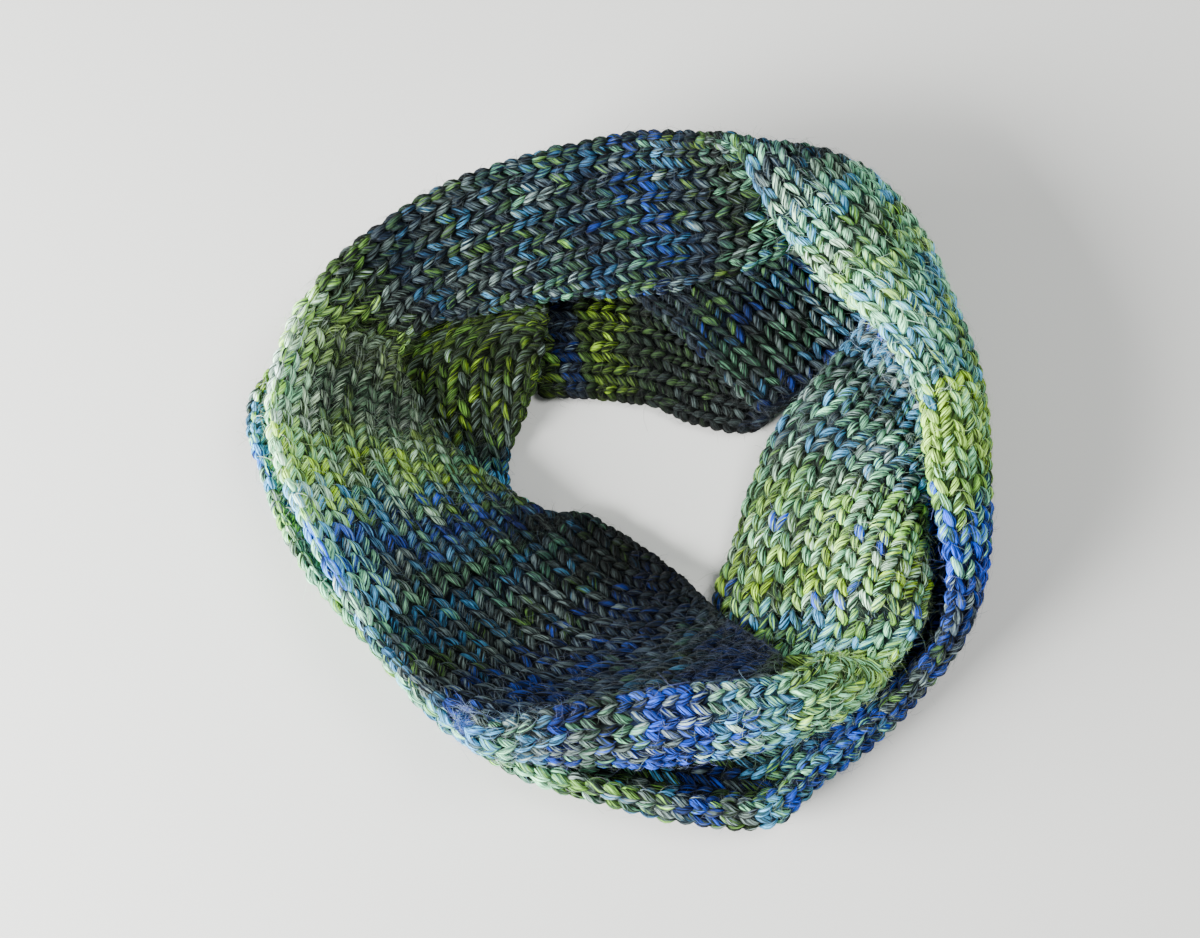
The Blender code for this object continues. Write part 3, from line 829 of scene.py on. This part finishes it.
def leg_pattern(count, rng):
    """Where the points round the legs lie in the yarn's pattern; each leg starts somewhere else in it."""
    offset = rng.random((count, 2)) * UV_SPREAD
    uv = np.empty((count, LEG_POINTS, LEG_SIDES, 2))
    uv[..., 0] = (ALONG_LEG * UV_LEG + offset[:, 0:1])[:, :, None] / UV_UNIT
    uv[..., 1] = (np.arange(LEG_SIDES) / LEG_SIDES * UV_ROUND + offset[:, 1:2, None]) / UV_UNIT
    return uv.reshape(-1, 2)


def make_stitches(stretch, grid, rng, material):
    """The knitted face of a stretch: two plump legs of yarn for each stitch, all round the tube."""
    every = row_places(stretch.band.stations)
    legs = make_legs(stretch, grid, every)
    count = len(legs.row)
    wobble = rng.normal(0, 1, (count, 4)) * LEG_WOBBLE
    places, distances, rings = leg_rings(stretch, grid, every, legs, wobble)
    yarn, fleck, second_fleck = leg_colours(stretch, legs, places, distances, rng)
    colours = [
        ("yarn", dimmed(yarn)),
        ("fleck", dimmed(fleck)),
        ("second_fleck", dimmed(SECOND_GAIN * second_fleck)),
    ]
    vertices = rings.reshape(-1, 3)
    uv = leg_pattern(count, rng)
    return add_mesh(stretch.name + "_stitches", vertices, leg_faces(count), colours, uv, material)


# ---- the plain cloth and the loose fibres ----
def shell_faces(count):
    """The faces of a tube with a thin wall, count faces long and open at its ends."""
    j = np.arange(SHELL_SIDES)
    j_next = (j + 1) % SHELL_SIDES
    ring = np.arange(count)[:, None] * SHELL_SIDES
    corners = [ring + j, ring + j_next, ring + SHELL_SIDES + j_next, ring + SHELL_SIDES + j]
    wall = (count + 1) * SHELL_SIDES
    last_edge = count * SHELL_SIDES
    outside = quads(*corners)
    inside = quads(*corners[::-1]) + wall
    first_end = quads(j, j + wall, j_next + wall, j_next)
    last_end = quads(j_next, j_next + wall, j + wall, j) + last_edge
    return np.concatenate([outside, inside, first_end, last_end])


def make_shell(stretch, grid, material):
    """The plain cloth of a stretch under its stitches, and the cloth's way round and its length."""
    count = max(3, round((stretch.last - stretch.first) * SHELL_ROWS))
    places = np.linspace(stretch.first, stretch.last, count + 1)
    reach = reach_at(grid, places)
    distances = (np.arange(SHELL_SIDES) / SHELL_SIDES * 2 - 1) * reach[:, None]
    at = np.broadcast_to(places[:, None], distances.shape)
    outer, _ = surface(grid, at, distances, SHELL_OUTER)
    inner, _ = surface(grid, at, distances, SHELL_INNER)
    vertices = np.concatenate([outer.reshape(-1, 3), inner.reshape(-1, 3)])
    dark, _, mean, amount = stripe_colours(stretch.band.stripes, at, np.random.default_rng(SEED), [])
    # painted shade: the plain cloth shows only deep between the stitches, so it is painted dark
    yarn = np.concatenate([wool_mix(dark, mean, amount * SHELL_SHADED_BRIGHT).reshape(-1, 3)] * 2)
    colours = [(key, yarn * shade) for key, shade in SHELL_SHADES]
    uv = np.stack([np.tile((at * UV_STATION).ravel(), 2), np.tile(distances.ravel() / UV_UNIT, 2)], axis=-1)
    piece = add_mesh(stretch.name + "_cloth", vertices, shell_faces(count), colours, uv, material)
    width = 2 * reach.mean() + 2 * math.pi * SHELL_OUTER
    length = lengths_along(outer.mean(axis=1)[None])[0][-1]
    return piece, width * MM, length * MM


def fibre_ribbons(stretch, grid, count, rng):
    """Where loose fibres stand on a stretch, and the pairs of points along each."""
    # twice as many are tried, and the half that faces up the most is kept
    places = rng.uniform(stretch.first, stretch.last, 2 * count)
    distances = rng.uniform(-1, 1, 2 * count) * reach_at(grid, places)
    _, out = surface(grid, places, distances, FIBRE_ROOT)
    kept = np.argsort(-out[:, 2] + rng.normal(0, FIBRE_STRAY, 2 * count))[:count]
    places, distances = places[kept], distances[kept]
    root, out = surface(grid, places, distances, FIBRE_ROOT)
    ahead, _ = surface(grid, places + STEP_AHEAD, distances, FIBRE_ROOT)
    along = unit(ahead - root)
    side = np.cross(out, along)
    turn = rng.uniform(0, 2 * math.pi, count)
    heading = along * np.cos(turn)[:, None] + side * np.sin(turn)[:, None]
    bend = np.cross(out, heading) * rng.normal(0, FIBRE_BEND, count)[:, None]
    lift = rng.uniform(*FIBRE_LIFT, count)[:, None, None]
    length = rng.uniform(*FIBRE_LENGTH, count) + LONG_FIBRE * (rng.random(count) < LONG_FIBRE_SHARE)
    length = length[:, None, None]
    t = np.linspace(0, 1, FIBRE_POINTS)[None, :, None]
    path = (
        root[:, None]
        + heading[:, None] * t * length
        + bend[:, None] * t**2 * length
        + out[:, None] * (t * lift - FIBRE_DROOP * t**2 * lift) * length
    )
    path[..., 2] = np.maximum(path[..., 2], FIBRE_OVER_FLOOR)
    width = FIBRE_RADIUS * (1 - FIBRE_TIP * t)
    across = unit(rng.normal(0, 1, (count, 3)))[:, None]
    return places, distances, np.stack([path - across * width, path + across * width], axis=2)


def make_halo(rng, grids, material):
    """Loose fibres that stand off the wool: thin curved ribbons, more of them where it faces up."""
    area = np.array([len(grid.places) * grid.reach.mean() for _, grid in grids])
    vertices, colours = [], []
    for (stretch, grid), share in zip(grids, area / area.sum()):
        count = int(FIBRES * share)
        places, distances, ribbons = fibre_ribbons(stretch, grid, count, rng)
        vertices.append(ribbons.reshape(-1, 3))
        dark, brights, _, amount = stripe_colours(stretch.band.stripes, places, rng, [rng.random(count)])
        grey = brights[0].mean(axis=1, keepdims=True)
        bright = (1 - FIBRE_GREY) * brights[0] + FIBRE_GREY * grey
        colour = wool_mix(dark, bright, FIBRE_BRIGHT + amount) + FIBRE_PALE
        # the fibres take the painted light and shade across the cloth, up to a limit
        colour = colour * np.minimum(painted_light_and_shade(stretch, places, distances), FIBRE_MOST_PAINTED_LIGHT)[:, None]
        colours.append(np.repeat(colour, FIBRE_POINTS * 2, axis=0))
    vertices, colours = np.concatenate(vertices), np.concatenate(colours)
    fibre = np.arange(0, len(vertices), FIBRE_POINTS * 2)[:, None]
    pair = fibre + np.arange(FIBRE_POINTS - 1)[None, :] * 2
    faces = quads(pair, pair + 1, pair + 3, pair + 2)
    return add_mesh("loose_fibres", vertices, faces, [("yarn", colours)], None, material)


# ---- materials ----
def set_inputs(target, values):
    for key, value in values.items():
        target.inputs[key].default_value = value


def node(tree, kind, x, y, inputs=None, **settings):
    """A new node with its settings and its inputs' values."""
    made = tree.nodes.new("ShaderNode" + kind)
    made.location = (x, y)
    for key, value in settings.items():
        setattr(made, key, value)
    set_inputs(made, inputs or {})
    return made


def new_material(name, finish):
    """A material, its node tree and its shader."""
    material = bpy.data.materials.new(name)
    material.use_nodes = True
    shader = material.node_tree.nodes["Principled BSDF"]
    set_inputs(shader, finish)
    return material, material.node_tree, shader


def streaks(tree, vector, y, scale, offset, detail, roughness):
    """Noise that is drawn out along the yarn."""
    drawn_out = node(tree, "Mapping", -800, y, {"Scale": scale, "Location": offset})
    tree.links.new(vector, drawn_out.inputs["Vector"])
    noise = node(tree, "TexNoise", -600, y, {"Scale": 1.0, "Detail": detail, "Roughness": roughness})
    tree.links.new(drawn_out.outputs["Vector"], noise.inputs["Vector"])
    return noise


def heathered(tree, channels):
    """The yarn's colour, with flecks of bright wool and dark fibres over it."""
    colour = node(tree, "Attribute", -600, -500, attribute_name="yarn").outputs["Color"]
    for step, (channel, begins, whole, layer) in enumerate(HEATHER):
        y = -200 - 200 * step
        cover = node(tree, "MapRange", -250, y, {"From Min": begins, "From Max": whole})
        tree.links.new(channels.outputs[channel], cover.inputs["Value"])
        if layer == "dark_fibre":
            over = node(tree, "HueSaturation", -250, y - 100, DARK_FIBRE)
            tree.links.new(colour, over.inputs["Color"])
        else:
            over = node(tree, "Attribute", -600, y - 500, attribute_name=layer)
        mix = node(tree, "Mix", -100, y, data_type="RGBA")
        tree.links.new(cover.outputs["Result"], mix.inputs["Factor"])
        tree.links.new(colour, mix.inputs["A"])
        tree.links.new(over.outputs["Color"], mix.inputs["B"])
        colour = mix.outputs["Result"]
    return colour


def yarn_material(name, sheen, bump_strength):
    """Heathered singles yarn: fine streaks along a slow twist, pale and dark fibres, soft fuzz."""
    material, tree, shader = new_material(name, WOOL_FINISH | {"Sheen Weight": sheen})
    link = tree.links.new
    uv = node(tree, "UVMap", -1200, 0, uv_map="along_yarn")
    twist = node(tree, "Mapping", -1000, 0, {"Rotation": (0, 0, math.radians(TWIST))})
    link(uv.outputs["UV"], twist.inputs["Vector"])
    fine = streaks(tree, twist.outputs["Vector"], 200, **FINE_STREAKS)
    wide = streaks(tree, twist.outputs["Vector"], -200, **WIDE_STREAKS)
    channels = node(tree, "SeparateColor", -420, -200)
    link(wide.outputs["Color"], channels.inputs["Color"])
    tone = node(tree, "ValToRGB", -350, 200)
    ramp = tone.color_ramp.elements
    ramp.new(FINE_TONES[1][0])
    for element, (position, colour) in zip(ramp, FINE_TONES):
        element.position = position
        element.color = colour
    link(fine.outputs["Fac"], tone.inputs["Fac"])
    shade = node(tree, "Mix", 100, 0, data_type="RGBA", blend_type="MULTIPLY")
    set_inputs(shade, {"Factor": 1.0})
    link(heathered(tree, channels), shade.inputs["A"])
    link(tone.outputs["Color"], shade.inputs["B"])
    link(shade.outputs["Result"], shader.inputs["Base Color"])
    bump = node(tree, "Bump", 350, -250, {"Strength": bump_strength, "Distance": BUMP_DEPTH})
    link(fine.outputs["Fac"], bump.inputs["Height"])
    link(bump.outputs["Normal"], shader.inputs["Normal"])
    return material


def fibre_material():
    """Single fibres in the colour of their stripe."""
    material, tree, shader = new_material("loose_fibre", FIBRE_FINISH)
    colour = node(tree, "Attribute", -300, 0, attribute_name="yarn")
    tree.links.new(colour.outputs["Color"], shader.inputs["Base Color"])
    return material


# ---- the camera, the floor and the light ----
def make_camera():
    """A camera in front of the scarf that looks steeply down on it."""
    data = bpy.data.cameras.new("camera")
    data.sensor_width = SENSOR_WIDTH
    data.lens = FOCAL_PIXELS * SENSOR_WIDTH / IMAGE_WIDTH
    data.clip_start, data.clip_end = CAMERA_CLIP
    elevation = math.radians(CAMERA_ELEVATION)
    back = Vector((0, -math.cos(elevation), math.sin(elevation)))
    camera = add_object("camera", data)
    camera.location = (Vector(CAMERA_TARGET) + back * CAMERA_DISTANCE) * MM
    camera.rotation_euler = (-back).to_track_quat("-Z", "Y").to_euler()
    bpy.context.scene.camera = camera


def make_floor():
    """A plain pale floor."""
    mesh = bpy.data.meshes.new("floor")
    corners = [(x * FLOOR_HALF, y * FLOOR_HALF, 0) for x, y in ((-1, -1), (1, -1), (1, 1), (-1, 1))]
    mesh.from_pydata(corners, [], [(0, 1, 2, 3)])
    material, _, _ = new_material("pale_floor", FLOOR_FINISH)
    mesh.materials.append(material)
    floor = add_object("floor", mesh)


def make_light():
    """Plain soft light, strongest from the front left."""
    world = bpy.data.worlds.new("soft_room")
    world.use_nodes = True
    set_inputs(world.node_tree.nodes["Background"], ROOM_LIGHT)
    bpy.context.scene.world = world
    for lamp in LAMPS:
        data = bpy.data.lights.new(lamp.name, "AREA")
        data.size = lamp.size
        data.energy = lamp.power
        data.color = LAMP_COLOUR
        light = add_object(lamp.name, data)
        light.location = lamp.place
        light.rotation_euler = (-Vector(lamp.place)).to_track_quat("-Z", "Y").to_euler()


rng = np.random.default_rng(SEED)
make_camera()
make_floor()
make_light()
wool = yarn_material("heathered_wool", sheen=0.02, bump_strength=0.9)
under_wool = yarn_material("wool_underneath", sheen=0.01, bump_strength=0.5)
grids = []
for stretch in STRETCHES:
    grid = make_grid(stretch)
    grids.append((stretch, grid))
    cloth, width, length = make_shell(stretch, grid, under_wool)
    stitches = make_stitches(stretch, grid, rng, wool)
    for piece in (cloth, stitches):
        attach(piece, "root")
    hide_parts(stretch.name)
halo = make_halo(rng, grids, fibre_material())
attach(halo, "root")
